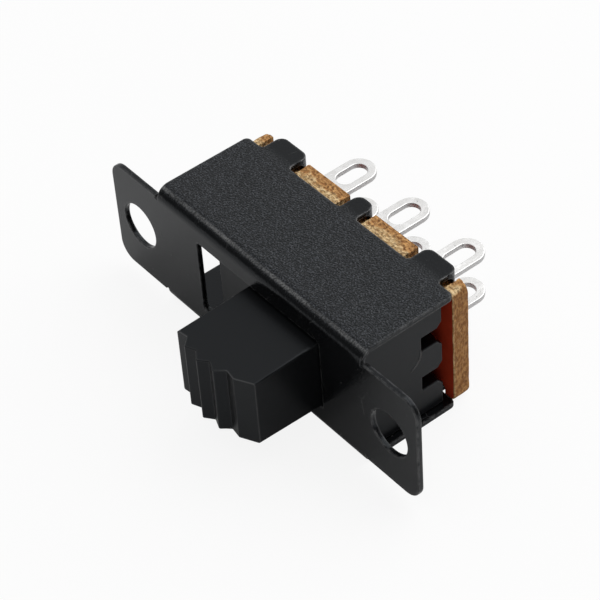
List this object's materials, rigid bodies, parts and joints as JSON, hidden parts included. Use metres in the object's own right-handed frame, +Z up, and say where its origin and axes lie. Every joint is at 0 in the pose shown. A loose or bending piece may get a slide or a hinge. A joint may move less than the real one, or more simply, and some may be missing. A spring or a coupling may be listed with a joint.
{
  "type": "slide switch",
  "caption": "Panel slide switch: folded black steel frame with screw ears, a ridged sliding knob, a brown laminate base and eyed solder lugs. The knob slides to change contacts.",
  "frame": {"origin": "centre of the mounting plate's front face, midway between the screw holes", "axes": "+X along the plate, -Y out of the panel towards the knob, +Y towards the solder lugs, +Z up"},
  "size_m": [0.023, 0.0153, 0.0074],
  "materials": {
    "frame_paint": "black semi-matte paint with a fine grain on folded steel sheet, worn lighter along bends and cut edges",
    "knob_plastic": "matte black moulded plastic with light sheen along the ridges",
    "board_laminate": "brown paper laminate, smooth dark red faces and fibrous tan cut edges",
    "terminal_tin": "bright tin plate over brass strip, slightly uneven",
    "clip_bronze": "bare phosphor bronze spring strip"
  },
  "bodies": {
    "housing": {"frame_shell": "frame_paint", "base_board": "board_laminate", "terminal_upper_left": "terminal_tin", "terminal_upper_centre": "terminal_tin", "terminal_upper_right": "terminal_tin", "terminal_lower_left": "terminal_tin", "terminal_lower_centre": "terminal_tin", "terminal_lower_right": "terminal_tin"},
    "slider": {"slider_knob": "knob_plastic", "contact_clip_upper": "clip_bronze", "contact_clip_lower": "clip_bronze"}
  },
  "joints": [
    {"name": "knob_slide", "type": "slide", "parent": "housing", "child": "slider", "axis": [1, 0, 0], "range_m": [-0.0039, 0]}
  ]
}
